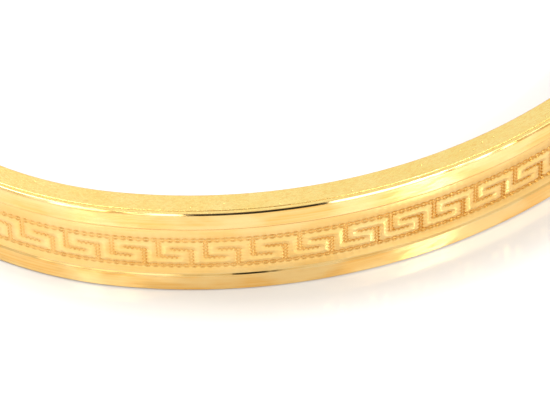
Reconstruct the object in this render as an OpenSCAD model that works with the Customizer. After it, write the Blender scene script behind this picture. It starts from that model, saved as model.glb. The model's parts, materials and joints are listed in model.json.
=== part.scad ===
// Hollow hinged oval bangle, built from sheet: two halves, a knuckle hinge, a tongue clasp and a safety loop.
// Millimetres, +Z up. The origin is the middle of the oval on the plane that the bangle rests on.
// The hinge is at the -X end, the clasp at the +X end, the front half is on -Y.

/* [Band] */
// Inside length of the oval, from hinge to clasp
inner_length = 60; // [54:0.5:66]
// Inside width of the oval, from front to back
inner_width = 50; // [46:0.5:52]
// Height of the band
band_height = 7.1; // [6.6:0.1:8]
// Radial thickness of the band at the rims
band_thickness = 1.75; // [1.75:0.05:2]
// Height of each plain rim above and below the engraved field
rim_height = 1.43; // [1:0.01:1.6]
// Depth of the engraved field below the rims
field_depth = 0.1; // [0.05:0.01:0.15]
// Polished chamfer on the two outer edges
edge_chamfer = 0.12; // [0.05:0.01:0.2]

/* [Sheet] */
// Thickness of the outer sheet
shell_sheet = 0.36; // [0.3:0.01:0.4]
// Thickness of the upper and lower side walls
wall_sheet = 0.35; // [0.25:0.01:0.5]
// Thickness of the lining
lining_sheet = 0.3; // [0.2:0.01:0.32]
// Thickness of the plates that close the ends of each half
end_plate_sheet = 0.5; // [0.3:0.05:0.6]

/* [Hinge] */
// Outside radius of the hinge barrel
barrel_radius = 1; // [0.9:0.05:1]
// Radius of the hinge pin
pin_radius = 0.4; // [0.3:0.05:0.45]
// Radial clearance between the pin and the front knuckle
pin_clearance = 0.03; // [0.01:0.01:0.06]
// How far the barrel stands out from the band
barrel_proud = 0.4; // [0.3:0.05:0.5]
// Height of the front half's knuckle
front_knuckle_height = 2.26; // [1.6:0.02:2.8]

/* [Clasp] */
// Length of the tongue inside the front half
tongue_length = 3.6; // [3.2:0.1:3.6]
// Thickness of the tongue's strip
tongue_sheet = 0.2; // [0.15:0.01:0.2]
// Width of the tongue
tongue_width = 4.4; // [4:0.1:4.6]
// Width of the thumb button
button_width = 2.8; // [2:0.1:3]
// Length of the thumb button around the band
button_length = 1.38; // [1:0.02:1.5]

/* [Safety catch] */
// Distance from the loop's turning axis to the middle of its eye
loop_reach = 4.2; // [3.8:0.1:4.4]
// Radius of the ball on the stud
ball_radius = 0.3; // [0.25:0.01:0.32]
// Radius of the wire that turns in the post
loop_bar_radius = 0.17; // [0.14:0.01:0.18]

/* [Hidden] */
$fn = 180;

// The oval: a flat arc at the front and back, a tighter arc at each end, tangent where they meet.
// The line through both centres is the long side of a 3-4-5 triangle, so centres and radii are round numbers.
half_length = inner_length / 2;
half_width = inner_width / 2;
joint_angle = atan2(4, 3);
centre_distance = (half_length - half_width) / (0.6 + 0.8 - 1);
end_centre_x = centre_distance * 0.6;
end_radius = half_length - end_centre_x;
flat_radius = end_radius + centre_distance;
end_sweep = 58;
flat_sweep = 42;

mid_z = band_height / 2;
channel_outer = band_thickness - shell_sheet;
big = 2 * inner_length;

// The hinge.
hinge_x = -(half_length + band_thickness + barrel_proud - barrel_radius);
hinge_gap = 0.05;
hinge_face_y = barrel_radius + hinge_gap;
pin_head_radius = 0.6;
pin_head_height = 0.15;
barrel_inset = 0.3;
knuckle_gap = 0.07;
web_inner_x = -(half_length + lining_sheet + 0.05);
web_outer_x = -(half_length + channel_outer - 0.04);

// The clasp. Its faces stand a hair apart when the bangle is shut.
clasp_gap = 0.03;
fold_gap = 0.06;
slot_clearance = 0.08;
slot_inner_x = half_length + lining_sheet + 0.2;
slot_outer_x = half_length + channel_outer - 0.29;
tongue_inner_x = slot_inner_x + 0.05;
fold_x = tongue_inner_x + tongue_sheet + fold_gap / 2;
tongue_root_y = 1.2;
leaf_end_x = half_length + channel_outer - 0.06;
leaf_end_y = -(clasp_gap + end_plate_sheet + 0.07);
button_clearance = 0.06;
button_front_y = leaf_end_y - 0.02;
button_back_y = button_front_y - button_length;
button_top_x = half_length + band_thickness + barrel_proud;
button_chamfer = 0.16;

// The safety catch, in a frame that turns with the band: X outward, Y along the band.
loop_angle = -4.2;
loop_offset = 0.7;
loop_axis_z = band_height + 0.4;
loop_wire = 0.3;
eye_radius = 0.42;
eye_outer_radius = eye_radius + loop_wire;
neck_half_width = 0.36;
fork_length = 1.9;
post_radius = 0.38;
post_half_width = 0.33;
stud_neck_radius = 0.2;
ball_z = band_height + 0.76;

// x of the leaf's outer face at a given y
function leaf_x(y) = fold_x + fold_gap / 2 + tongue_sheet
    + (leaf_end_x - fold_x - fold_gap / 2 - tongue_sheet) * (y + tongue_length) / (leaf_end_y + tongue_length);

// Outline of the outer sheet's section: distance from the inside of the band, and height
function shell_section() = let (
    r = band_thickness,
    field = r - field_depth,
    low = rim_height,
    high = band_height - rim_height,
    slope = field_depth / 2
) [
    [channel_outer, 0], [r - edge_chamfer, 0], [r, edge_chamfer],
    [r, low - slope], [field, low + slope], [field, high - slope], [r, high + slope],
    [r, band_height - edge_chamfer], [r - edge_chamfer, band_height], [channel_outer, band_height]
];

// Outline of a rectangular section
function box_section(r0, r1, z0, z1) = [[r0, z0], [r1, z0], [r1, z1], [r0, z1]];

// Front quarter on +X. It is drawn with the line through both centres along X, so that the two arcs
// start from the same plane, and each runs a little past the middle and the end, where it is cut off.
module swept_quarter(section) {
    difference() {
        rotate([0, 0, -joint_angle]) translate([0, centre_distance * 0.48, 0]) {
            translate([centre_distance * 0.36, 0, 0])
                rotate_extrude(start = 0, angle = end_sweep)
                    translate([end_radius, 0]) polygon(section);
            translate([-centre_distance * 0.64, 0, 0])
                rotate_extrude(start = -flat_sweep, angle = flat_sweep)
                    translate([flat_radius, 0]) polygon(section);
        }
        translate([-big, -big, -1]) cube([big, 2 * big, band_height + 2]);
    }
}

// Front half of the oval, swept with a section
module swept_half(section) {
    swept_quarter(section);
    mirror([1, 0, 0]) swept_quarter(section);
}

// Front half with its ends trimmed: room for the barrel at the hinge, a hair at the clasp
module trimmed_half(section) {
    difference() {
        swept_half(section);
        translate([-big, -hinge_face_y, -big / 2]) cube([big, big, big]);
        translate([0, -clasp_gap, -big / 2]) cube([big, big, big]);
    }
}

// The slice of the front half's hollow that an end plate fills
module channel_slice(x0, y0, y1) {
    intersection() {
        swept_half(box_section(lining_sheet, channel_outer, wall_sheet, band_height - wall_sheet));
        translate([x0, y0, -1]) cube([big, y1 - y0, band_height + 2]);
    }
}

module outer_shell() {
    trimmed_half(shell_section());
}

module upper_wall() {
    trimmed_half(box_section(0, channel_outer, band_height - wall_sheet, band_height));
}

module lower_wall() {
    trimmed_half(box_section(0, channel_outer, 0, wall_sheet));
}

module inner_lining() {
    trimmed_half(box_section(0, lining_sheet, wall_sheet, band_height - wall_sheet));
}

module hinge_end_plate() {
    channel_slice(-big, -hinge_face_y - end_plate_sheet, -hinge_face_y);
}

module clasp_end_plate() {
    channel_slice(0, -clasp_gap - end_plate_sheet, -clasp_gap);
}

// A block centred on the band's mid height
module mid_block(x0, x1, y0, y1, width) {
    translate([x0, y0, mid_z - width / 2]) cube([x1 - x0, y1 - y0, width]);
}

// One hinge knuckle with the web that joins it to the front half's end plate
module knuckle(z0, z1, bore_radius) {
    difference() {
        union() {
            translate([hinge_x, 0, z0]) cylinder(h = z1 - z0, r = barrel_radius);
            translate([web_outer_x, -hinge_face_y, z0])
                cube([web_inner_x - web_outer_x, hinge_face_y, z1 - z0]);
        }
        translate([hinge_x, 0, z0 - 1]) cylinder(h = z1 - z0 + 2, r = bore_radius);
    }
}

module front_outer_shell() {
    color("goldenrod") difference() {
        outer_shell();
        mid_block(half_length, half_length + 5, button_back_y - button_clearance, 1,
            button_width + 2 * button_clearance);
    }
}

module front_upper_wall() {
    color("gold") upper_wall();
}

module front_lower_wall() {
    color("gold") lower_wall();
}

module front_inner_lining() {
    color("khaki") inner_lining();
}

module front_hinge_end_plate() {
    color("darkgoldenrod") hinge_end_plate();
}

// The slot lets the tongue through, and the notch lets the button out
module front_clasp_end_plate() {
    color("darkgoldenrod") difference() {
        clasp_end_plate();
        mid_block(slot_inner_x, slot_outer_x, -2, 1, tongue_width + 2 * slot_clearance);
        mid_block(slot_outer_x - 0.1, half_length + 5, -2, 1, button_width + 2 * button_clearance);
    }
}

module front_hinge_knuckle() {
    color("gold") knuckle(mid_z - front_knuckle_height / 2, mid_z + front_knuckle_height / 2,
        pin_radius + pin_clearance);
}

module back_outer_shell() {
    color("goldenrod") mirror([0, 1, 0]) outer_shell();
}

module back_upper_wall() {
    color("gold") mirror([0, 1, 0]) upper_wall();
}

module back_lower_wall() {
    color("gold") mirror([0, 1, 0]) lower_wall();
}

module back_inner_lining() {
    color("khaki") mirror([0, 1, 0]) inner_lining();
}

module back_hinge_end_plate() {
    color("darkgoldenrod") mirror([0, 1, 0]) hinge_end_plate();
}

// The tongue's root goes through this plate
module back_clasp_end_plate() {
    color("darkgoldenrod") difference() {
        mirror([0, 1, 0]) clasp_end_plate();
        mid_block(tongue_inner_x, tongue_inner_x + tongue_sheet, -1, 2, tongue_width);
    }
}

module back_upper_knuckle() {
    color("gold") mirror([0, 1, 0])
        knuckle(mid_z + front_knuckle_height / 2 + knuckle_gap, band_height - barrel_inset, pin_radius);
}

module back_lower_knuckle() {
    color("gold") mirror([0, 1, 0])
        knuckle(barrel_inset, mid_z - front_knuckle_height / 2 - knuckle_gap, pin_radius);
}

module hinge_pin() {
    color("silver") translate([hinge_x, 0, 0]) {
        translate([0, 0, barrel_inset]) cylinder(h = band_height - 2 * barrel_inset, r = pin_radius);
        translate([0, 0, barrel_inset - pin_head_height]) cylinder(h = pin_head_height, r = pin_head_radius);
        translate([0, 0, band_height - barrel_inset]) cylinder(h = pin_head_height, r = pin_head_radius);
    }
}

module clasp_tongue() {
    color("gold") mid_block(tongue_inner_x, tongue_inner_x + tongue_sheet, -tongue_length, tongue_root_y,
        tongue_width);
}

// The strip turns back on itself at the tip, then rises towards the mouth
module clasp_spring_leaf() {
    inner_bend = fold_gap / 2;
    outer_bend = inner_bend + tongue_sheet;
    color("khaki") translate([0, 0, mid_z - tongue_width / 2]) {
        translate([fold_x, -tongue_length, 0])
            rotate_extrude(start = 180, angle = 180)
                translate([inner_bend, 0]) square([tongue_sheet, tongue_width]);
        linear_extrude(height = tongue_width) polygon([
            [fold_x + inner_bend, -tongue_length], [fold_x + outer_bend, -tongue_length],
            [leaf_end_x, leaf_end_y], [leaf_end_x - tongue_sheet, leaf_end_y]
        ]);
    }
}

module thumb_button() {
    low = mid_z - button_width / 2;
    high = mid_z + button_width / 2;
    shoulder_x = button_top_x - button_chamfer;
    color("goldenrod") intersection() {
        translate([0, 0, low]) linear_extrude(height = button_width) polygon([
            [leaf_x(button_back_y), button_back_y], [leaf_x(button_front_y), button_front_y],
            [shoulder_x, button_front_y], [button_top_x, button_front_y - button_chamfer],
            [button_top_x, button_back_y + button_chamfer], [shoulder_x, button_back_y]
        ]);
        translate([0, 1, 0]) rotate([90, 0, 0]) linear_extrude(height = 5) polygon([
            [half_length, low], [shoulder_x, low], [button_top_x, low + button_chamfer],
            [button_top_x, high - button_chamfer], [shoulder_x, high], [half_length, high]
        ]);
    }
}

// Puts its children on the safety catch's turning axis
module at_safety_axis() {
    translate([end_centre_x, 0, loop_axis_z])
        rotate([0, 0, loop_angle])
            translate([end_radius + loop_offset, 0, 0])
                children();
}

module safety_post() {
    foot_drop = loop_axis_z - band_height;
    color("gold") at_safety_axis() difference() {
        union() {
            translate([-post_half_width, 0, 0]) rotate([0, 90, 0])
                cylinder(h = 2 * post_half_width, r = post_radius);
            translate([-post_half_width, -0.3, -foot_drop]) cube([2 * post_half_width, 0.6, foot_drop]);
        }
        translate([-1, 0, 0]) rotate([0, 90, 0]) cylinder(h = 2, r = loop_bar_radius + 0.03);
    }
}

// Stored folded back along its own half
module safety_loop() {
    color("khaki") at_safety_axis() {
        translate([0, 0, -loop_wire / 2]) linear_extrude(height = loop_wire) difference() {
            union() {
                translate([0, -loop_reach]) circle(r = eye_outer_radius);
                translate([-neck_half_width, -loop_reach + eye_radius + 0.1])
                    square([2 * neck_half_width, loop_reach - fork_length - eye_radius]);
                translate([-eye_outer_radius, -fork_length])
                    square([2 * eye_outer_radius, fork_length + loop_bar_radius]);
            }
            translate([0, -loop_reach]) circle(r = eye_radius);
            translate([-eye_radius, -fork_length + loop_wire]) square([2 * eye_radius, fork_length + 1]);
        }
        translate([-eye_outer_radius, 0, 0]) rotate([0, 90, 0])
            cylinder(h = 2 * eye_outer_radius, r = loop_bar_radius);
    }
}

module safety_stud() {
    color("gold") at_safety_axis() translate([0, loop_reach, band_height - loop_axis_z]) {
        cylinder(h = ball_z - band_height, r = stud_neck_radius);
        translate([0, 0, ball_z - band_height]) sphere(r = ball_radius);
    }
}

front_outer_shell();
front_upper_wall();
front_lower_wall();
front_inner_lining();
front_hinge_end_plate();
front_clasp_end_plate();
front_hinge_knuckle();
back_outer_shell();
back_upper_wall();
back_lower_wall();
back_inner_lining();
back_hinge_end_plate();
back_clasp_end_plate();
back_upper_knuckle();
back_lower_knuckle();
hinge_pin();
clasp_tongue();
clasp_spring_leaf();
thumb_button();
safety_post();
safety_loop();
safety_stud();
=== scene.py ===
"""Looks of the hollow hinged oval bangle: engraved sheet, satin side walls, hinge, clasp and safety loop.

Everything is built in millimetres in the CAD's frame and scaled to metres when a mesh is made.
s runs along the band's outer face from the middle of a half (negative towards the hinge), r outwards
from the inside of the band, z up from the plane that the bangle lies on.
"""
import json
import math

import bmesh
import bpy
import numpy as np
from mathutils import Matrix, Vector


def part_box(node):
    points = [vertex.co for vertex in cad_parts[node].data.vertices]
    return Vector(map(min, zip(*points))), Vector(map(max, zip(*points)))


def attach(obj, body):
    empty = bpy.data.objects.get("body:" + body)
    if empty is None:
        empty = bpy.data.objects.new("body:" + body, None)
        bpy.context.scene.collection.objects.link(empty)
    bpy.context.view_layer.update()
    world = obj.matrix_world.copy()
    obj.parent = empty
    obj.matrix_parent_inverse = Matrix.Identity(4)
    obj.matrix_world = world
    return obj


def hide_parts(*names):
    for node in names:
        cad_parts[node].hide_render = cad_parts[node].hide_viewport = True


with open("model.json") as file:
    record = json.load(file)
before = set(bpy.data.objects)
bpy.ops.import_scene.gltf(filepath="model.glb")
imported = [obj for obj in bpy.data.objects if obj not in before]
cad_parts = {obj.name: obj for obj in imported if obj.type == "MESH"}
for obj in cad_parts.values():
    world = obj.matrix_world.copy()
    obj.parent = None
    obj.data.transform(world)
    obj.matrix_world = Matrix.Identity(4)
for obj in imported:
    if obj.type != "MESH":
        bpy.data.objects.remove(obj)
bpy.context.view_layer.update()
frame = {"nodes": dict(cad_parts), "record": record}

MM = 0.001


def box_mm(node):
    """The lowest and the highest corner of a CAD node, in millimetres."""
    low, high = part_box(node)
    return Vector(low) / MM, Vector(high) / MM


def joint(name):
    return next(j for j in frame["record"]["behaviour"]["joints"] if j["name"] == name)


# ---------------------------------------------------------------- sizes

# Sheet thicknesses and section, as the CAD has them
LINING_SHEET = 0.30
SHELL_SHEET = 0.36
WALL_SHEET = 0.35
RIM_HEIGHT = 1.43
FIELD_DEPTH = 0.10
EDGE_CHAMFER = 0.12
BUTTON_CLEARANCE = 0.06

# The looks' own details of the section. A step slopes this far to either side of the rim's edge, a
# little further than the CAD's 0.05. An ease is how far a corner is rounded over
LOWER_STEP_SLOPE = 0.06
UPPER_STEP_SLOPE = 0.085
SEAM_BEVEL = 0.035
INNER_BEVEL = 0.05
SEAM_EASE = 0.01
SHEET_EASE = 0.012
CHAMFER_EASE = 0.016

# The band, from the CAD's boxes
shell_low, shell_high = box_mm("front_outer_shell")
lining_high = box_mm("front_inner_lining")[1]
HEIGHT = round(shell_high.z, 2)
MID = HEIGHT / 2
HALF_LENGTH = round(lining_high.x - LINING_SHEET, 2)
THICKNESS = round(shell_high.x, 2) - HALF_LENGTH
HALF_WIDTH = round(-shell_low.y - THICKNESS, 2)
CHANNEL = THICKNESS - SHELL_SHEET
FIELD = THICKNESS - FIELD_DEPTH
HINGE_FACE = round(-box_mm("front_hinge_end_plate")[1].y, 2)
CLASP_FACE = round(-box_mm("front_clasp_end_plate")[1].y, 2)

# The oval: flat arcs and end arcs, whose centres are the long side of a 3-4-5 triangle apart
CENTRES = (HALF_LENGTH - HALF_WIDTH) / 0.4
END_X = CENTRES * 0.6
FLAT_Y = CENTRES * 0.8
END_RADIUS = HALF_LENGTH - END_X
FLAT_RADIUS = END_RADIUS + CENTRES
SPLIT = math.atan2(3, 4)
FLAT_RUN = (FLAT_RADIUS + THICKNESS) * SPLIT
END_RUN = (END_RADIUS + THICKNESS) * (math.pi / 2 - SPLIT)
HINGE_S = -(FLAT_RUN + END_RUN - HINGE_FACE)
CLASP_S = FLAT_RUN + END_RUN - CLASP_FACE

# Distances between stations along the band where it isn't engraved, and the least before the first key
SHELL_STEP = 0.2
LIP_STEP = 0.1
WALL_STEP = 0.4
LEAST_STEP = 0.02

# The row of keys
KEY_PITCH = 3.005
FIRST_KEY = -44.445
KEYS = 30
STEPS_PER_KEY = 75
ROWS_BELOW_MID = 1.6
ROWS_ABOVE_MID = 1.3
ROW_SPACING = 0.036
SHELL_LENGTHS = 4

# The graver's strokes. Each swings out to one side and to the other once in its length, and its depth
# falls to the least share of a cut in between
UPPER_ROPE = 1.0
LOWER_ROPE = -1.35
UPPER_ROPE_SWING = 0.13
LOWER_ROPE_SWING = 0.105
BAR_SWING = 0.12
BAR_LENGTH = 0.60
HOOK_SWING = 0.05
HOOK_LENGTH = 0.30
LEAST_DEPTH = 0.5
HOOK_LEAST_DEPTH = 0.75
STROKE_STEP = 0.01
CUT_DEPTH = 0.06
CUT_HALF_WIDTH = 0.08
SHOULDER_DEPTH = 0.06
SHOULDER_WIDTH = 0.27

# How hard the graver pressed: it wanders from one run of stations to the next, and grows along the half
HAND_SEEDS = {"front": 11, "back": 12}
HAND_SPREAD = 0.18
HAND_RUN = 5
HAND_MIDDLE = 0.88
HAND_GROWTH = 0.32
GROWTH_MIDDLE = -8
GROWTH_RUN = 6
HAND_LIMITS = (0.5, 1.35)


# ---------------------------------------------------------------- the oval

def oval(s, r):
    """Points of the front half at distance s along the outer face and r out from the inside."""
    s, r = np.broadcast_arrays(np.asarray(s, float), np.asarray(r, float))
    on_end = np.abs(s) > FLAT_RUN
    side = np.sign(s)
    past = (np.abs(s) - FLAT_RUN) / (END_RADIUS + THICKNESS)
    angle = np.where(on_end, side * (SPLIT + past), s / (FLAT_RADIUS + THICKNESS))
    centre_x = np.where(on_end, side * END_X, 0)
    centre_y = np.where(on_end, 0, FLAT_Y)
    radius = np.where(on_end, END_RADIUS, FLAT_RADIUS) + r
    return centre_x + radius * np.sin(angle), centre_y - radius * np.cos(angle)


def on_end_face(r, side, face):
    """Points at r where the band's end is cut off flat at distance face from the middle plane."""
    radius = END_RADIUS + np.asarray(r, float)
    return side * (END_X + np.sqrt(radius ** 2 - face ** 2)), np.full(radius.shape, -face)


# ---------------------------------------------------------------- mesh helpers

def make_mesh(name, points, faces, materials, face_materials=None, fields=None, sharp=None):
    """An object from points in millimetres. fields are per-point values that the materials read, and
    sharp is the angle in degrees from which an edge is shaded sharp."""
    mesh = bpy.data.meshes.new(name)
    mesh.from_pydata((np.asarray(points) * MM).tolist(), [], faces)
    mesh.polygons.foreach_set("use_smooth", np.ones(len(mesh.polygons), bool))
    for material in materials:
        mesh.materials.append(material)
    if face_materials is not None:
        mesh.polygons.foreach_set("material_index", np.asarray(face_materials, np.int32))
    for key, values in (fields or {}).items():
        values = np.asarray(values, np.float32)
        kind = "FLOAT" if values.ndim == 1 else "FLOAT_VECTOR"
        attribute = mesh.attributes.new(key, kind, "POINT")
        attribute.data.foreach_set("value" if values.ndim == 1 else "vector", values.ravel())
    if sharp is not None:
        mesh.set_sharp_from_angle(angle=math.radians(sharp))
    mesh.validate()
    mesh.update()
    piece = bpy.data.objects.new(name, mesh)
    bpy.context.scene.collection.objects.link(piece)
    return piece


def place(piece, body, node):
    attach(piece, body)
    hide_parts(node)


def facing_out(points, faces):
    """The faces, turned round if they enclose a negative volume."""
    points = np.asarray(points, float)
    total = 0.0
    for face in faces:
        a = points[face[0]]
        for i in range(1, len(face) - 1):
            total += np.dot(a, np.cross(points[face[i]], points[face[i + 1]]))
    return faces if total > 0 else [f[::-1] for f in faces]


def rounded(chain, ease, row_corner=None, rows=()):
    """A closed outline whose corners are rounded over ease, one value or one per corner, with a further
    point on either side so that flats stay flat. rows are points to put in after corner row_corner."""
    eases = np.broadcast_to(ease, len(chain))
    outline = []
    for i, h in enumerate(eases):
        before, corner, after = (np.array(chain[(i + k) % len(chain)], float) for k in (-1, 0, 1))
        back = (before - corner) / np.linalg.norm(before - corner)
        ahead = (after - corner) / np.linalg.norm(after - corner)
        outline += [corner + back * 2 * h, corner + back * h, corner + ahead * h, corner + ahead * 2 * h]
        if i == row_corner:
            outline += [np.array(q) for q in rows]
    return np.array(outline)


def quarter(steps):
    """(sin, cos) pairs from 0 to 90 degrees."""
    return [(math.sin(a), math.cos(a)) for a in np.radians(np.linspace(0, 90, steps + 1))]


def lathe(profile, steps):
    """A closed profile of (radius, height) turned about Z. Radius 0 makes a single point."""
    points, faces, rings = [], [], []
    for radius, height in profile:
        count = 1 if radius < 1e-9 else steps
        rings.append(list(range(len(points), len(points) + count)))
        for k in range(count):
            angle = 2 * math.pi * k / steps
            points.append((radius * math.cos(angle), radius * math.sin(angle), height))
    pairs = list(zip(rings, rings[1:]))
    if len(rings[0]) > 1:
        pairs.append((rings[-1], rings[0]))
    for lower, upper in pairs:
        for k in range(steps):
            q = (k + 1) % steps
            if len(lower) == 1:
                faces.append([lower[0], upper[q], upper[k]])
            elif len(upper) == 1:
                faces.append([lower[k], lower[q], upper[0]])
            else:
                faces.append([lower[k], lower[q], upper[q], upper[k]])
    return np.array(points), facing_out(points, faces)


def stacked(rings):
    """A solid whose outlines, of equally many points, follow one another from end to end."""
    n = len(rings[0])
    points = np.concatenate(rings)
    faces = []
    for k in range(len(rings) - 1):
        for i in range(n):
            q = (i + 1) % n
            faces.append([k * n + i, k * n + q, (k + 1) * n + q, (k + 1) * n + i])
    faces.append(list(range(n))[::-1])
    faces.append(list(range((len(rings) - 1) * n, len(rings) * n)))
    return points, facing_out(points, faces)


def block(low, high, bevel):
    """A box with rounded edges and flat sides."""
    mesh = bmesh.new()
    bmesh.ops.create_cube(mesh, size=1)
    low, high = Vector(low), Vector(high)
    for v in mesh.verts:
        v.co = Vector([(low[i] + high[i]) / 2 + v.co[i] * (high[i] - low[i]) for i in range(3)])
    edges = list(mesh.edges)
    bmesh.ops.bevel(mesh, geom=edges, offset=bevel, segments=3, profile=0.5, affect="EDGES")
    sides = sorted(mesh.faces, key=lambda f: -f.calc_area())[:6]
    bmesh.ops.inset_individual(mesh, faces=sides, thickness=bevel * 0.3)
    mesh.verts.index_update()
    points = np.array([v.co[:] for v in mesh.verts])
    faces = [[v.index for v in f.verts] for f in mesh.faces]
    mesh.free()
    return points, faces


def joined(*solids):
    points, faces, count = [], [], 0
    for some_points, some_faces in solids:
        points.append(np.asarray(some_points))
        faces += [[v + count for v in f] for f in some_faces]
        count += len(some_points)
    return np.concatenate(points), faces


def turned_to_x(solid):
    """Z turned to X."""
    points, faces = solid
    return points[:, [2, 0, 1]], faces


def moved(solid, offset):
    points, faces = solid
    return points + np.array(offset), faces


# ---------------------------------------------------------------- materials

class Nodes:
    """A material's node tree, built one node at a time. Bump distances are in metres."""

    def __init__(self, name):
        self.material = bpy.data.materials.new(name)
        self.material.use_nodes = True
        self.tree = self.material.node_tree
        self.tree.nodes.clear()
        self.output = self.add("ShaderNodeOutputMaterial")

    def feed(self, socket, value):
        if isinstance(value, bpy.types.NodeSocket):
            self.tree.links.new(value, socket)
        else:
            socket.default_value = value

    def add(self, kind, inputs=None, **settings):
        node = self.tree.nodes.new(kind)
        for key, value in settings.items():
            setattr(node, key, value)
        for key, value in (inputs or {}).items():
            self.feed(node.inputs[key], value)
        return node

    def place_mm(self, stretch=(1, 1, 1)):
        """The point's place in the CAD frame, in millimetres."""
        where = self.add("ShaderNodeTexCoord").outputs["Object"]
        inputs = {"Vector": where, "Scale": [1000 * k for k in stretch]}
        return self.add("ShaderNodeMapping", inputs).outputs[0]

    def along_band(self, stretch=(1, 1, 1)):
        """(s, r, z) in millimetres, so that a pattern can follow the band."""
        where = self.add("ShaderNodeAttribute", attribute_name="along").outputs["Vector"]
        return self.add("ShaderNodeMapping", {"Vector": where, "Scale": stretch}).outputs[0]

    def point_value(self, name):
        return self.add("ShaderNodeAttribute", attribute_name=name).outputs["Fac"]

    def noise(self, where, scale, detail=3.0, rough=0.5):
        inputs = {"Vector": where, "Scale": scale, "Detail": detail, "Roughness": rough}
        return self.add("ShaderNodeTexNoise", inputs).outputs["Fac"]

    def ramp(self, value, low, high, to_low=0.0, to_high=1.0):
        inputs = {"Value": value, "From Min": low, "From Max": high, "To Min": to_low, "To Max": to_high}
        return self.add("ShaderNodeMapRange", inputs).outputs["Result"]

    def compute(self, operation, *values):
        return self.add("ShaderNodeMath", dict(enumerate(values)), operation=operation).outputs[0]

    def mix(self, factor, a, b):
        inputs = {0: factor, 6: a, 7: b}
        return self.add("ShaderNodeMix", inputs, data_type="RGBA").outputs[2]

    def bump(self, height, distance, normal=None):
        inputs = {"Height": height, "Distance": distance, "Strength": 1.0}
        if normal is not None:
            inputs["Normal"] = normal
        return self.add("ShaderNodeBump", inputs).outputs["Normal"]

    def metal(self, color, roughness, normal):
        inputs = {"Base Color": color, "Roughness": roughness, "Metallic": 1.0, "Normal": normal}
        shader = self.add("ShaderNodeBsdfPrincipled", inputs)
        self.tree.links.new(shader.outputs[0], self.output.inputs["Surface"])
        return self.material


GOLD = (0.89, 0.565, 0.18, 1)
GOLD_PALE = (0.93, 0.69, 0.31, 1)
GOLD_LIGHT = (0.91, 0.615, 0.225, 1)
GOLD_DEEP = (0.86, 0.49, 0.13, 1)
# GOLD_CUT is painted shade in the engraved cuts; the satin walls also use it for the dark seam line, their
# darkened pits and the dark line at the inner edge
GOLD_CUT = (0.60, 0.23, 0.015, 1)
SATIN_DEEP = (0.89, 0.67, 0.215, 1)
SATIN_LIGHT = (0.92, 0.72, 0.27, 1)
ROLLED_DEEP = (0.88, 0.60, 0.22, 1)
ROLLED_LIGHT = (0.93, 0.68, 0.30, 1)


def polished_gold():
    """Rims and linings: a mirror polish with a slow ripple and the faint lines that the buff leaves along
    the band in the bump. The colour has painted reflection streaks along the band and paler painted
    reflection patches, and those patches are also rougher, as if wiped."""
    g = Nodes("gold_polished")
    lines = g.noise(g.along_band((0.06, 5, 5)), 2.0, 4)
    patches = g.noise(g.along_band((0.28, 0.7, 0.7)), 1.0, 3, 0.45)
    ripple = g.noise(g.along_band((0.5, 1.4, 1.4)), 1.0, 1)
    # Painted reflection: darker and lighter streaks along the band, then paler patches
    color = g.mix(g.ramp(lines, 0.35, 0.65), GOLD_DEEP, GOLD_LIGHT)
    color = g.mix(g.ramp(patches, 0.42, 0.62, 0, 0.75), color, GOLD_PALE)
    rough = g.ramp(patches, 0.35, 0.65, 0.049, 0.14)
    normal = g.bump(ripple, 0.000035)
    normal = g.bump(lines, 0.0000018, normal)
    return g.metal(color, rough, normal)


def plain_polished_gold():
    """Polished small parts, with fine scratches."""
    g = Nodes("gold_parts")
    grain = g.noise(g.place_mm(), 2.5, 4)
    scratch = g.noise(g.place_mm((9, 1, 9)), 1.5, 2)
    color = g.mix(g.ramp(grain, 0.35, 0.65), GOLD, GOLD_LIGHT)
    rough = g.ramp(grain, 0.3, 0.7, 0.07, 0.16)
    return g.metal(color, rough, g.bump(scratch, 0.0000015))


def satin_gold():
    """Side walls: a fine satin grain along the band, with tiny pits, and dark lines at the seam and at
    the inner edge."""
    g = Nodes("gold_satin")
    grain = g.noise(g.along_band((0.7, 3, 3)), 6.0, 5, 0.65)
    specks = g.noise(g.along_band((1.4, 3, 3)), 2.6, 5, 0.7)
    cloud = g.noise(g.along_band((0.5, 0.8, 0.8)), 0.9, 3)
    cells = g.add("ShaderNodeTexVoronoi", {"Vector": g.along_band(), "Scale": 1.3})
    pit = g.ramp(cells.outputs["Distance"], 0.035, 0.075, 1.0, 0.0)
    color = g.mix(g.ramp(cloud, 0.3, 0.7), SATIN_DEEP, SATIN_LIGHT)
    color = g.mix(g.ramp(specks, 0.45, 0.75, 0, 0.8), color, GOLD_DEEP)
    color = g.mix(g.ramp(pit, 0, 1, 0, 0.75), color, GOLD_CUT)
    across = g.add("ShaderNodeSeparateXYZ", {"Vector": g.along_band()}).outputs["Y"]
    off_seam = g.compute("ABSOLUTE", g.compute("SUBTRACT", across, CHANNEL))
    seam_line = g.ramp(off_seam, 0.012, 0.045, 1.0, 0.0)
    seam_strength = g.ramp(cloud, 0.35, 0.65, 0.15, 0.8)
    color = g.mix(g.compute("MULTIPLY", seam_line, seam_strength), color, GOLD_CUT)
    color = g.mix(g.ramp(across, 0.03, 0.075, 0.9, 0.0), color, GOLD_CUT)
    rough = g.ramp(grain, 0.3, 0.7, 0.18, 0.31)
    normal = g.bump(grain, 0.000006)
    normal = g.bump(g.ramp(pit, 0, 1, 1, 0), 0.00001, normal)
    return g.metal(color, rough, normal)


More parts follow.
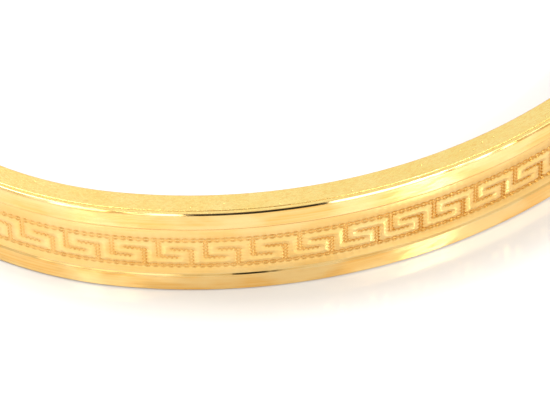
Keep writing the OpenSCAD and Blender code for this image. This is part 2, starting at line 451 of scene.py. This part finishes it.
def field_gold():
    """The engraved field: softly polished and wiped, with painted shade: dark orange in the cuts and a
    deeper gold beside them.
    """
    g = Nodes("gold_field")
    cut = g.point_value("cut")
    shoulder = g.point_value("shoulder")
    lines = g.noise(g.along_band((0.12, 4, 4)), 2.0, 4)
    patches = g.noise(g.along_band((0.3, 0.5, 0.5)), 1.0, 3, 0.5)
    mottle = g.noise(g.along_band(), 3.5, 4, 0.6)
    color = g.mix(g.ramp(lines, 0.35, 0.65), GOLD, GOLD_LIGHT)
    color = g.mix(g.ramp(patches, 0.42, 0.65, 0, 0.6), color, GOLD_PALE)
    # Painted shade beside the cuts and in them, darker where a cut is deeper
    color = g.mix(g.ramp(shoulder, 0.2, 1, 0, 0.45), color, GOLD_DEEP)
    color = g.mix(g.ramp(cut, 0.08, 1.05, 0, 0.95), color, GOLD_CUT)
    rough = g.ramp(cut, 0, 1, 0.15, 0.4)
    return g.metal(color, rough, g.bump(mottle, 0.000003))


def rolled_gold():
    """Hard-rolled strip and pin wire: bright, with rolling marks."""
    g = Nodes("gold_spring")
    marks = g.noise(g.place_mm((1, 0.15, 4)), 3.0, 4)
    color = g.mix(g.ramp(marks, 0.35, 0.65), ROLLED_DEEP, ROLLED_LIGHT)
    rough = g.ramp(marks, 0.3, 0.7, 0.12, 0.24)
    return g.metal(color, rough, g.bump(marks, 0.000004))


POLISHED_GOLD = polished_gold()
PARTS_GOLD = plain_polished_gold()
SATIN_GOLD = satin_gold()
FIELD_GOLD = field_gold()
ROLLED_GOLD = rolled_gold()

# The shell's materials, in the order of zones_of
SHELL_GOLD = [POLISHED_GOLD, FIELD_GOLD, SATIN_GOLD]


# ---------------------------------------------------------------- the engraving

def smooth_path(points):
    """Corners cut off again and again, ends kept."""
    points = np.array(points, float)
    for _ in range(3):
        a, b = points[:-1], points[1:]
        cut = np.stack([a * 0.75 + b * 0.25, a * 0.25 + b * 0.75], 1).reshape(-1, points.shape[1])
        points = np.concatenate([points[:1], cut[1:-1], points[-1:]])
    return points


def sides_of(path):
    """Unit vectors to the left of a path's run."""
    along = np.gradient(path, axis=0)
    along /= np.linalg.norm(along, axis=1)[:, None]
    return np.stack([-along[:, 1], along[:, 0]], -1)


def wavy_stroke(path, swing, length, phase=0.0, least=LEAST_DEPTH):
    """A graver's stroke rocked from side to side along a path: (along, height, depth) at every step.
    It is deepest where it swings out furthest, so it reads as a row of dashes on either side."""
    path = smooth_path(path)
    run = np.concatenate([[0], np.cumsum(np.linalg.norm(np.diff(path, axis=0), axis=1))])
    d = np.arange(0, run[-1] + STROKE_STEP / 2, STROKE_STEP)
    on_path = np.stack([np.interp(d, run, path[:, k]) for k in (0, 1)], -1)
    turn = 2 * math.pi * d / length + phase
    depth = least + (1 - least) * np.abs(np.sin(turn))
    return np.column_stack([on_path + swing * np.sin(turn)[:, None] * sides_of(on_path), depth])


def key_strokes():
    """The strokes of one key, in millimetres from its L bar and from mid height: two rope borders, an L
    and its turned twin, each bar joined to its hook by a rounded corner. Ropes and bars are two strokes
    that swing against each other."""
    p = KEY_PITCH
    upper, lower = UPPER_ROPE, LOWER_ROPE
    upper_rope = [(0, upper), (p, upper)]
    lower_rope = [(0, lower), (p, lower)]
    bar = [(0, upper - 0.14), (0, -0.64)]
    turned_bar = [(0.69 * p, 0.18), (0.69 * p, lower + 0.1)]
    hook = [(0.15, -0.36), (0.18, -0.56), (0.50, -0.57), (0.40 * p, -0.57)]
    turned_hook = [(0.27 * p, 0.15), (0.45 * p, 0.15), (0.62 * p, 0.15), (0.64 * p, -0.02)]
    strokes = []
    for phase in (0, math.pi):
        strokes.append(wavy_stroke(upper_rope, UPPER_ROPE_SWING, p / 3, phase))
        strokes.append(wavy_stroke(lower_rope, LOWER_ROPE_SWING, p / 3, phase))
        strokes.append(wavy_stroke(bar, BAR_SWING, BAR_LENGTH, phase))
        strokes.append(wavy_stroke(turned_bar, BAR_SWING, BAR_LENGTH, phase))
    for path in (hook, turned_hook):
        strokes.append(wavy_stroke(path, HOOK_SWING, HOOK_LENGTH, least=HOOK_LEAST_DEPTH))
    return strokes


def engraved_key(heights):
    """For one key, sampled at STEPS_PER_KEY places along and at the given heights: cut and shoulder,
    0 to 1. The strokes are taken in short runs, which keeps the arrays small."""
    run = 60
    along = np.arange(STEPS_PER_KEY) * KEY_PITCH / STEPS_PER_KEY
    a, h = np.meshgrid(along, heights, indexing="ij")
    cut = np.zeros(a.shape)
    nearest = np.full(a.shape, np.inf)
    for stroke in key_strokes():
        for shift in (-KEY_PITCH, 0, KEY_PITCH):
            for start in range(0, len(stroke), run):
                x, y, depth = stroke[start:start + run].T
                gap = np.hypot(a[..., None] - x - shift, h[..., None] - y)
                here = depth * np.clip(1 - (gap / CUT_HALF_WIDTH) ** 2, 0, 1)
                cut = np.maximum(cut, here.max(-1))
                nearest = np.minimum(nearest, gap.min(-1))
    return cut, np.exp(-(nearest / SHOULDER_WIDTH) ** 2)


def hand_pressure(s, half):
    """How hard the graver pressed at each station."""
    draws = np.random.default_rng(HAND_SEEDS[half]).normal(1.0, HAND_SPREAD, len(s) // HAND_RUN + 2)
    wander = np.interp(np.arange(len(s)) / HAND_RUN, np.arange(len(draws)), draws)
    growth = HAND_MIDDLE + HAND_GROWTH * np.tanh((s - GROWTH_MIDDLE) / GROWTH_RUN)
    return np.clip(wander * growth, *HAND_LIMITS)[:, None]


# ---------------------------------------------------------------- swept sheet

def stations(step, first=HINGE_S, last=CLASP_S):
    return np.linspace(first, last, int(round((last - first) / step)) + 1)


def swept_points(s, outline, depth):
    """Points of an outline of (r, height) swept along stations s. depth is taken off r."""
    r = outline[:, 0] - depth + np.zeros((len(s), 1))
    z = np.tile(outline[:, 1], (len(s), 1))
    x, y = oval(s[:, None], r)
    if s[0] <= HINGE_S + 1e-6:
        x[0], y[0] = on_end_face(r[0], -1, HINGE_FACE)
    if s[-1] >= CLASP_S - 1e-6:
        x[-1], y[-1] = on_end_face(r[-1], 1, CLASP_FACE)
    return np.stack([x, y, z], -1), r


def swept_piece(name, node, s, outline, zones, materials, depth=0.0, fields=None):
    """A closed solid: the outline swept along s, with end caps of their own points so that shading stays
    clean. zones holds the material index of each outline segment. The back half is mirrored."""
    half = node.split("_")[0]
    points, r = swept_points(s, outline, depth)
    n, m = points.shape[:2]
    index = np.arange(n * m).reshape(n, m)
    following = np.roll(index, -1, axis=1)
    faces = np.stack([index[:-1], index[1:], following[1:], following[:-1]], -1).reshape(-1, 4).tolist()
    face_zones = np.tile(zones, n - 1).tolist() + [0, 0]
    count = n * m
    faces += [list(range(count, count + m)), list(range(count + m, count + 2 * m))[::-1]]
    source = np.concatenate([index.ravel(), index[0], index[-1]])
    along = np.stack([np.repeat(s, m), r.ravel(), points[..., 2].ravel()], -1)
    values = {"along": along[source]}
    for key, grid in (fields or {}).items():
        values[key] = grid.reshape(-1)[source]
    all_points = points.reshape(-1, 3)[source]
    if half == "back":
        all_points = all_points * [1, -1, 1]
        faces = [f[::-1] for f in faces]
    piece = make_mesh(name, all_points, faces, materials, face_zones, values)
    place(piece, half + "_half", node)


def zones_of(outline):
    """For each segment: 1 on the sunk field, 2 on the side faces, 0 elsewhere."""
    r, z = ((outline + np.roll(outline, -1, axis=0)) / 2).T
    on_field = (np.abs(r - FIELD) < 0.02) & (np.abs(z - MID) < MID - RIM_HEIGHT)
    on_side = (np.abs(z - MID) > MID - 0.005) & (r < THICKNESS - EDGE_CHAMFER)
    return np.where(on_field, 1, np.where(on_side, 2, 0))


def shell_outline(heights):
    """The outer sheet's section, up the outside and down the inside, and where in it the rows of the
    engraved field are."""
    t, c, b = THICKNESS, EDGE_CHAMFER, SEAM_BEVEL
    low, high = RIM_HEIGHT, HEIGHT - RIM_HEIGHT
    chain = [
        (CHANNEL, b), (CHANNEL + b, 0), (t - c, 0), (t, c),
        (t, low - LOWER_STEP_SLOPE), (FIELD, low + LOWER_STEP_SLOPE),
        (FIELD, high - UPPER_STEP_SLOPE), (t, high + UPPER_STEP_SLOPE),
        (t, HEIGHT - c), (t - c, HEIGHT), (CHANNEL + b, HEIGHT), (CHANNEL, HEIGHT - b),
    ]
    eases = [SEAM_EASE] * 2 + [CHAMFER_EASE] * 2 + [SHEET_EASE] * 4 + [CHAMFER_EASE] * 2 + [SEAM_EASE] * 2
    field_corner = 5
    outline = rounded(chain, eases, field_corner, [(FIELD, h) for h in heights])
    first_row = 4 * (field_corner + 1)
    return outline, slice(first_row, first_row + len(heights))


def lip_outline(edge, upper):
    """The part of that section above or below the button's notch, which ends at height edge."""
    t, c, b = THICKNESS, EDGE_CHAMFER, SEAM_BEVEL
    slope = UPPER_STEP_SLOPE if upper else LOWER_STEP_SLOPE
    step = HEIGHT - RIM_HEIGHT
    edge = edge if upper else HEIGHT - edge
    chain = [
        (CHANNEL, edge), (FIELD, edge), (FIELD, step - slope), (t, step + slope),
        (t, HEIGHT - c), (t - c, HEIGHT), (CHANNEL + b, HEIGHT), (CHANNEL, HEIGHT - b),
    ]
    outline = rounded(chain, [SHEET_EASE] * 4 + [CHAMFER_EASE] * 2 + [SEAM_EASE] * 2)
    return outline if upper else outline[::-1] * [1, -1] + [0, HEIGHT]


def shell_stations(end):
    """Stations from the hinge to end, close together in the engraving, and where in them it is."""
    spacing = KEY_PITCH / STEPS_PER_KEY
    engraved = FIRST_KEY + np.arange(KEYS * STEPS_PER_KEY) * spacing
    engraved = engraved[engraved < end - spacing / 2]
    before = np.arange(HINGE_S + SHELL_STEP, FIRST_KEY - LEAST_STEP, SHELL_STEP)
    after = np.arange(engraved[-1] + SHELL_STEP, end - SHELL_STEP / 2, SHELL_STEP)
    start = 1 + len(before)
    s = np.concatenate([[HINGE_S], before, engraved, after, [end]])
    return s, slice(start, start + len(engraved))


def outer_shells():
    """The engraved outer sheets, each in lengths that meet end to end, with the button's notch in the
    front one. The back one is mirrored, so its keys are turned round first to run the same way round
    the bangle."""
    heights = np.arange(MID - ROWS_BELOW_MID, MID + ROWS_ABOVE_MID, ROW_SPACING)
    outline, rows = shell_outline(heights)
    zones = zones_of(outline)
    key_cut, key_shoulder = engraved_key(heights - MID)
    button_low, button_high = box_mm("thumb_button")
    notch_s = FLAT_RUN + END_RUN - (BUTTON_CLEARANCE - button_low.y)
    for half, end in (("front", notch_s), ("back", CLASP_S)):
        node = half + "_outer_shell"
        s, engraved = shell_stations(end)
        cut = np.zeros((len(s), len(outline)))
        shoulder = np.zeros_like(cut)
        for grid, key in ((cut, key_cut), (shoulder, key_shoulder)):
            if half == "back":
                key = np.roll(key[::-1], 1, axis=0)
            grid[engraved, rows] = np.tile(key, (KEYS, 1))[:engraved.stop - engraved.start]
        hand = hand_pressure(s, half)
        depth = CUT_DEPTH * cut * hand + SHOULDER_DEPTH * shoulder
        share = len(s) // SHELL_LENGTHS
        for k in range(SHELL_LENGTHS):
            is_last = k == SHELL_LENGTHS - 1
            part = slice(k * share, len(s) if is_last else (k + 1) * share + 1)
            # The cut and shoulder fields also tell the field's material where to paint shade, in and beside
            # the cuts; hand makes that shade darker where a cut is deeper
            fields = {"cut": cut[part] * hand[part], "shoulder": shoulder[part]}
            swept_piece(f"{node}_{k + 1}", node, s[part], outline, zones, SHELL_GOLD,
                        depth[part], fields)

    node = "front_outer_shell"
    s = stations(LIP_STEP, notch_s, CLASP_S)
    above = lip_outline(button_high.z + BUTTON_CLEARANCE, upper=True)
    below = lip_outline(button_low.z - BUTTON_CLEARANCE, upper=False)
    for k, outline in enumerate((above, below), SHELL_LENGTHS + 1):
        swept_piece(f"{node}_{k}", node, s, outline, zones_of(outline), SHELL_GOLD)


def side_walls_and_linings():
    s = stations(WALL_STEP)
    c, w, b, i = CHANNEL, WALL_SHEET, SEAM_BEVEL, INNER_BEVEL
    top, lift = HEIGHT, HEIGHT - WALL_SHEET
    lower = rounded([(0, i), (i, 0), (c - b, 0), (c, b), (c, w), (0, w)], SEAM_EASE)
    upper = rounded([(0, lift), (c, lift), (c, top - b), (c - b, top), (i, top), (0, top - i)], SEAM_EASE)
    lining = rounded([(0, w), (LINING_SHEET, w), (LINING_SHEET, lift), (0, lift)], SHEET_EASE)
    for half in ("front", "back"):
        for kind, slot, outline, material in (
            ("lower_wall", "satin_gold", lower, SATIN_GOLD),
            ("upper_wall", "satin_gold", upper, SATIN_GOLD),
            ("inner_lining", "polished_gold", lining, POLISHED_GOLD),
        ):
            node = f"{half}_{kind}"
            swept_piece(node, node, s, outline, [0] * len(outline), [material])


outer_shells()
side_walls_and_linings()


# ---------------------------------------------------------------- the hinge

HINGE_AT = Vector(joint("bangle_hinge")["pos_m"]) / MM
RUNNING_BORE = 0.43
TIGHT_BORE = 0.40
PIN_HEAD_HEIGHT = 0.15
KNUCKLE_ROUND = 0.07
BORE_CHAMFER = 0.03

# Where a rounding meets a flat, this far on comes a point that keeps the flat's shading flat
FLAT_HOLD = 0.02


def knuckle(node, body, bore):
    """A turned knuckle with rounded rims, and the web that joins it to its half."""
    low, high = box_mm(node)
    outer = HINGE_AT.x - low.x
    z0, z1, e, c = low.z, high.z, KNUCKLE_ROUND, BORE_CHAMFER
    arc = quarter(4)
    profile = [(bore + c, z0), (outer - e - FLAT_HOLD, z0)]
    profile += [(outer - e + e * x, z0 + e - e * y) for x, y in arc]
    profile += [(outer, z0 + e + FLAT_HOLD), (outer, z1 - e - FLAT_HOLD)]
    profile += [(outer - e + e * x, z1 - e + e * y) for x, y in arc[::-1]]
    profile += [(outer - e - FLAT_HOLD, z1), (bore + c, z1), (bore, z1 - c), (bore, z0 + c)]
    barrel = moved(lathe(profile, 96), (HINGE_AT.x, 0, 0))

    # The web starts outside the bore and stays just short of the barrel's ends
    side = -1 if body == "front_half" else 1
    near, far = sorted((side * (bore + 0.12), side * HINGE_FACE))
    web = block((HINGE_AT.x - 0.2, near, z0 + 0.01), (high.x, far, z1 - 0.01), 0.04)
    place(make_mesh(node + "_turned", *joined(barrel, web), [PARTS_GOLD]), body, node)


def hinge_pin():
    """The pin's shaft between two domed heads."""
    low, high = box_mm("hinge_pin")
    z0, z1, head = low.z, high.z, (high.x - low.x) / 2
    shaft, lip = TIGHT_BORE, PIN_HEAD_HEIGHT
    dome = [(0, 0), (0.2, 0.006), (0.36, 0.02), (0.48, 0.045), (0.56, 0.08), (head, 0.115)]
    profile = [(r, z0 + d) for r, d in dome]
    profile += [(head, z0 + lip), (shaft, z0 + lip), (shaft, z1 - lip), (head, z1 - lip)]
    profile += [(r, z1 - d) for r, d in dome[::-1]]
    points, faces = moved(lathe(profile, 64), (HINGE_AT.x, 0, 0))
    pin = make_mesh("hinge_pin_domed", points, faces, [ROLLED_GOLD], sharp=50)
    place(pin, "back_half", "hinge_pin")


knuckle("front_hinge_knuckle", "front_half", RUNNING_BORE)
knuckle("back_upper_knuckle", "back_half", TIGHT_BORE)
knuckle("back_lower_knuckle", "back_half", TIGHT_BORE)
hinge_pin()


# ---------------------------------------------------------------- the clasp

tongue_low, tongue_high = box_mm("clasp_tongue")
leaf_low, leaf_high = box_mm("clasp_spring_leaf")
FOLD_AT = Vector(joint("thumb_button_press")["pos_m"]) / MM
STRIP_SHEET = tongue_high.x - tongue_low.x
FOLD_INNER = FOLD_AT.x - tongue_high.x
FOLD_OUTER = FOLD_INNER + STRIP_SHEET
STRIP_EASE = 0.015
RIM_EASE = 0.02
RIM_HOLD = 0.05

# Angles round the fold. The tongue ends at 180, and the fold starts a little past that, clear of it
FOLD_TURN = [181.5, *range(192, 361, 12)]

BUTTON_ROUND = 0.16
GROOVES = 4
GROOVE_MARGIN = 0.33
GROOVE_DEPTH = 0.05
GROOVE_SECTION = [(0, 0.075), (0.012, 0.055), (GROOVE_DEPTH, 0), (0.012, -0.055), (0, -0.075)]


def strip(outline, z0, z1):
    """An outline in the XY plane, raised from z0 to z1, with the rims of its ends eased."""
    outline = np.array(outline, float)
    before, after = np.roll(outline, 1, axis=0), np.roll(outline, -1, axis=0)
    along = (after - before) / np.linalg.norm(after - before, axis=1)[:, None]
    area = np.sum(outline[:, 0] * after[:, 1] - after[:, 0] * outline[:, 1])
    inward = np.stack([-along[:, 1], along[:, 0]], -1) * (np.sign(area) * RIM_EASE)
    layers = [(outline + inward, z0), (outline, z0 + RIM_EASE), (outline, z0 + RIM_HOLD)]
    layers += [(outline, z1 - RIM_HOLD), (outline, z1 - RIM_EASE), (outline + inward, z1)]
    return stacked([np.column_stack([xy, np.full(len(xy), z)]) for xy, z in layers])


def tongue_and_leaf():
    """One strip in the real clasp: the tongue, which folds back at its tip and rises to the mouth."""
    low, high = tongue_low, tongue_high
    chain = [(low.x, low.y), (high.x, low.y), (high.x, high.y), (low.x, high.y)]
    points, faces = strip(rounded(chain, STRIP_EASE), low.z, high.z)
    tongue = make_mesh("clasp_tongue_strip", points, faces, [ROLLED_GOLD], sharp=50)
    place(tongue, "back_half", "clasp_tongue")

    outside, inside = (
        [(FOLD_AT.x + radius * math.cos(a), FOLD_AT.y + radius * math.sin(a)) for a in np.radians(FOLD_TURN)]
        for radius in (FOLD_OUTER, FOLD_INNER)
    )
    free_end = [(leaf_high.x, leaf_high.y), (leaf_high.x - STRIP_SHEET, leaf_high.y)]
    points, faces = strip(outside + free_end + inside[::-1], leaf_low.z, leaf_high.z)
    leaf = make_mesh("clasp_leaf_strip", points, faces, [ROLLED_GOLD], sharp=50)
    place(leaf, "thumb_press", "clasp_spring_leaf")


def thumb_button():
    """A rounded pad that stands on the sloping leaf, with grooves across it for grip."""
    low, high = box_mm("thumb_button")
    top, e = high.x, BUTTON_ROUND
    leaf_slope = (leaf_high.x - (FOLD_AT.x + FOLD_OUTER)) / (leaf_high.y - FOLD_AT.y)
    arc = quarter(5)
    section = [(low.x, low.y), (low.x + leaf_slope * (high.y - low.y), high.y)]
    section += [(top - e - FLAT_HOLD, high.y)]
    section += [(top - e + e * x, high.y - e + e * y) for x, y in arc]
    for y in np.linspace(high.y - GROOVE_MARGIN, low.y + GROOVE_MARGIN, GROOVES):
        section += [(top - depth, y + offset) for depth, offset in GROOVE_SECTION]
    section += [(top - e + e * x, low.y + e - e * y) for x, y in arc[::-1]]
    section += [(top - e - FLAT_HOLD, low.y)]
    out, along = np.array(section).T

    # The pad's rounded ends: its roof comes down there, and the grooves with it
    ends = e * (1 - np.array([y for x, y in arc]))
    heights = np.concatenate([low.z + ends, [low.z + e + 0.03, high.z - e - 0.03], high.z - ends[::-1]])
    dip = np.where(top - out < GROOVE_DEPTH + 0.01, top - out, 0)
    rings = []
    for height in heights:
        inset = max(0.0, e - min(height - low.z, high.z - height))
        roof = top - e + math.sqrt(max(0.0, e * e - inset * inset))
        lowered = np.where(out > top - e, np.minimum(out, roof - dip), out)
        rings.append(np.column_stack([lowered, along, np.full(len(out), height)]))
    points, faces = stacked(rings)
    button = make_mesh("thumb_button_grooved", points, faces, [PARTS_GOLD], sharp=35)
    place(button, "thumb_press", "thumb_button")


tongue_and_leaf()
thumb_button()


# ---------------------------------------------------------------- the safety catch

# The loop's widths and its eye are to the middle of the wire. It reaches from its axis to the stud
LOOP_REACH = 4.2
WIRE_RADIUS = 0.15
EYE_RADIUS = 0.57
FORK_HALF_WIDTH = 0.57
NECK_HALF_WIDTH = 0.19
BAR_RADIUS = 0.17
POST_RADIUS = 0.38
POST_HALF_WIDTH = 0.33
POST_BORE = 0.20
POST_CHAMFER = 0.03


def at_safety(points):
    """From the catch's own frame (X outward, Y along the band, Z up from its turning axis) to the CAD's."""
    swing = joint("safety_swing")
    x_axis = -Vector(swing["axis"])
    y_axis = Vector((0, 0, 1)).cross(x_axis)
    basis = np.array([x_axis[:], y_axis[:], (0, 0, 1)])
    return np.asarray(points) @ basis + np.array((Vector(swing["pos_m"]) / MM)[:])


def wire(path, radius, sides=20):
    """Round wire along a path in the XY plane, with flat ends."""
    angle = 2 * math.pi * np.arange(sides) / sides
    xy = path[:, None] + sides_of(path)[:, None] * (radius * np.cos(angle))[None, :, None]
    z = np.broadcast_to(radius * np.sin(angle), xy.shape[:2])
    return stacked(np.concatenate([xy, z[..., None]], -1))


def safety_loop():
    """One wire, out along the fork, round the eye and back, with a bar across the fork's ends."""
    f, n = FORK_HALF_WIDTH, NECK_HALF_WIDTH
    left = [(-f, 0), (-f, -0.8), (-f, -1.55), (-n, -1.9), (-n, -2.6), (-n, -3.45)]
    eye = [(-EYE_RADIUS * math.sin(a), -LOOP_REACH + EYE_RADIUS * math.cos(a))
           for a in np.radians(np.arange(35, 326, 10))]
    right = [(-x, y) for x, y in left[::-1]]
    end, r = FORK_HALF_WIDTH + WIRE_RADIUS, BAR_RADIUS
    half_bar = [(0, -end), (r - 0.04, -end), (r - 0.01, -end + 0.012), (r, -end + 0.04)]
    bar = turned_to_x(lathe(half_bar + [(a, -h) for a, h in half_bar[::-1]], 32))
    points, faces = joined(wire(smooth_path(left + eye + right), WIRE_RADIUS), bar)
    loop = make_mesh("safety_loop_wire", at_safety(points), faces, [PARTS_GOLD], sharp=50)
    place(loop, "safety_loop", "safety_loop")


def safety_post():
    """A tube across the band on a foot."""
    w, r, bore, e = POST_HALF_WIDTH, POST_RADIUS, POST_BORE, POST_CHAMFER
    half_tube = [(bore, -w + e), (bore + e, -w), (r - e, -w), (r, -w + e)]
    tube = turned_to_x(lathe(half_tube + [(a, -h) for a, h in half_tube[::-1]], 48))
    foot = block((-w, -0.3, -0.4), (w, 0.3, -0.24), 0.03)
    points, faces = joined(tube, foot)
    post = make_mesh("safety_post_tube", at_safety(points), faces, [PARTS_GOLD], sharp=50)
    place(post, "front_half", "safety_post")


def safety_stud():
    """A ball on a waisted neck, under the eye of the loop when that has swung over."""
    low, high = box_mm("safety_stud")
    ball = (high.x - low.x) / 2
    centre = high.z - ball
    z = low.z
    profile = [(0, z), (0.2, z), (0.2, z + 0.02), (0.185, z + 0.1), (0.175, z + 0.3)]
    around = np.linspace(math.asin(0.19 / ball), math.pi - 0.12, 20)
    profile += [(ball * math.sin(a), centre - ball * math.cos(a)) for a in around]
    profile += [(0, high.z)]
    points, faces = lathe(profile, 48)
    points = at_safety(points + [0, LOOP_REACH, 0])

    # The profile has the CAD's own heights already, so the axis's height comes off again
    points[:, 2] -= joint("safety_swing")["pos_m"][2] / MM
    stud = make_mesh("safety_stud_ball", points, faces, [PARTS_GOLD], sharp=50)
    place(stud, "back_half", "safety_stud")


safety_loop()
safety_post()
safety_stud()


# ---------------------------------------------------------------- carried-over CAD parts

for cad in frame["nodes"].values():
    if not cad.hide_render:
        cad.data.materials.clear()
        cad.data.materials.append(PARTS_GOLD)


# ---------------------------------------------------------------- camera and studio, in metres

CAMERA_AZIMUTH = -26.2
CAMERA_ELEVATION = 47.14
CAMERA_ROLL = -1.85
CAMERA_DISTANCE = 0.285
CAMERA_AIM = Vector((-0.01105, -0.02124, MID * MM))
CAMERA_LENS = 292.4
CAMERA_SENSOR = 36

WHITE = (1, 1, 1, 1)
WORLD_STRENGTH = 0.8
FLOOR_HALF = 1.5
FLOOR_COLOR = (0.66, 0.66, 0.66, 1)
LIGHT_DISTANCE = 0.5
LIGHT_AIM = Vector((0, -0.02, 0))

# Name, azimuth, elevation, half width and half height
DARK_PANELS = (
    ("camera_body", -18.3, 43, 0.065, 0.040),
    ("camera_stand", -20.5, 31, 0.017, 0.028),
)

# Name, azimuth, elevation, size and radiance. The lamps make the glints on the rims
LIGHTS = (
    ("left_softbox", -61, 43, (0.42, 0.06), 3.0),
    ("low_left_softbox", -61, 31, (0.42, 0.07), 0.7),
    ("right_softbox", 31, 43, (0.50, 0.14), 4.4),
    ("right_lamp", 15.3, 46, (0.020, 0.03), 110.0),
    ("far_right_lamp", 20.8, 46, (0.024, 0.03), 130.0),
    ("left_lamp", -57, 46, (0.05, 0.03), 20.0),
    ("near_left_lamp", -47, 46, (0.03, 0.03), 14.0),
    ("back_softbox", 150, 52, (0.60, 0.40), 0.20),
    ("high_back_softbox", 215, 62, (0.22, 0.22), 12.5),
)


def toward(azimuth, elevation):
    """The direction from the bangle to something. Azimuth 0 is in front, at -Y, and 90 is at +X."""
    a, e = math.radians(azimuth), math.radians(elevation)
    return Vector((math.sin(a) * math.cos(e), -math.cos(a) * math.cos(e), math.sin(e)))


def camera():
    data = bpy.data.cameras.new("camera")
    data.lens = CAMERA_LENS
    data.sensor_width = CAMERA_SENSOR
    data.clip_start, data.clip_end = 0.01, 10
    cam = bpy.data.objects.new("camera", data)
    back = toward(CAMERA_AZIMUTH, CAMERA_ELEVATION)
    cam.location = CAMERA_AIM + back * CAMERA_DISTANCE
    level = (-back).to_track_quat("-Z", "Y")
    roll = Matrix.Rotation(math.radians(CAMERA_ROLL), 4, "Z").to_quaternion()
    cam.rotation_mode = "QUATERNION"
    cam.rotation_quaternion = level @ roll
    bpy.context.scene.collection.objects.link(cam)
    bpy.context.scene.camera = cam


def plain_material(name, color, roughness, specular):
    material = bpy.data.materials.new(name)
    material.use_nodes = True
    shader = material.node_tree.nodes["Principled BSDF"]
    shader.inputs["Base Color"].default_value = color
    shader.inputs["Roughness"].default_value = roughness
    shader.inputs["Specular IOR Level"].default_value = specular
    return material


def stage_panel(name, corners, material):
    mesh = bpy.data.meshes.new(name)
    mesh.from_pydata(corners, [], [(0, 1, 2, 3)])
    mesh.materials.append(material)
    panel = bpy.data.objects.new(name, mesh)
    bpy.context.scene.collection.objects.link(panel)
    return panel


def area_light(name, place_at, size, radiance):
    data = bpy.data.lights.new(name, "AREA")
    data.shape = "RECTANGLE"
    width, height = size
    data.size, data.size_y = width, height
    data.energy = radiance * math.pi * width * height
    lamp = bpy.data.objects.new(name, data)
    lamp.location = place_at
    lamp.rotation_mode = "QUATERNION"
    lamp.rotation_quaternion = (LIGHT_AIM - place_at).to_track_quat("-Z", "Y")
    lamp.visible_camera = False
    bpy.context.scene.collection.objects.link(lamp)


def studio():
    world = bpy.data.worlds.new("studio")
    bpy.context.scene.world = world
    world.use_nodes = True
    background = world.node_tree.nodes["Background"]
    background.inputs["Color"].default_value = WHITE
    background.inputs["Strength"].default_value = WORLD_STRENGTH
    bpy.context.scene.view_settings.view_transform = "Standard"
    half = FLOOR_HALF
    corners = [(-half, -half, 0), (half, -half, 0), (half, half, 0), (-half, half, 0)]
    stage_panel("floor", corners, plain_material("white_card", FLOOR_COLOR, 0.15, 0.5))

    # The dark camera and its stand, which the polished chamfers and steps mirror
    black = plain_material("black_camera", (0.01, 0.01, 0.01, 1), 0.5, 0.2)
    for name, azimuth, elevation, w, h in DARK_PANELS:
        back = toward(azimuth, elevation)
        middle = CAMERA_AIM + back * (CAMERA_DISTANCE + 0.01)
        side = Vector((0, 0, 1)).cross(back).normalized()
        rise = back.cross(side)
        corners = [middle + side * a * w + rise * b * h for a, b in ((-1, -1), (1, -1), (1, 1), (-1, 1))]
        stage_panel(name, corners, black).visible_camera = False

    for name, azimuth, elevation, size, radiance in LIGHTS:
        area_light(name, toward(azimuth, elevation) * LIGHT_DISTANCE, size, radiance)


camera()
studio()
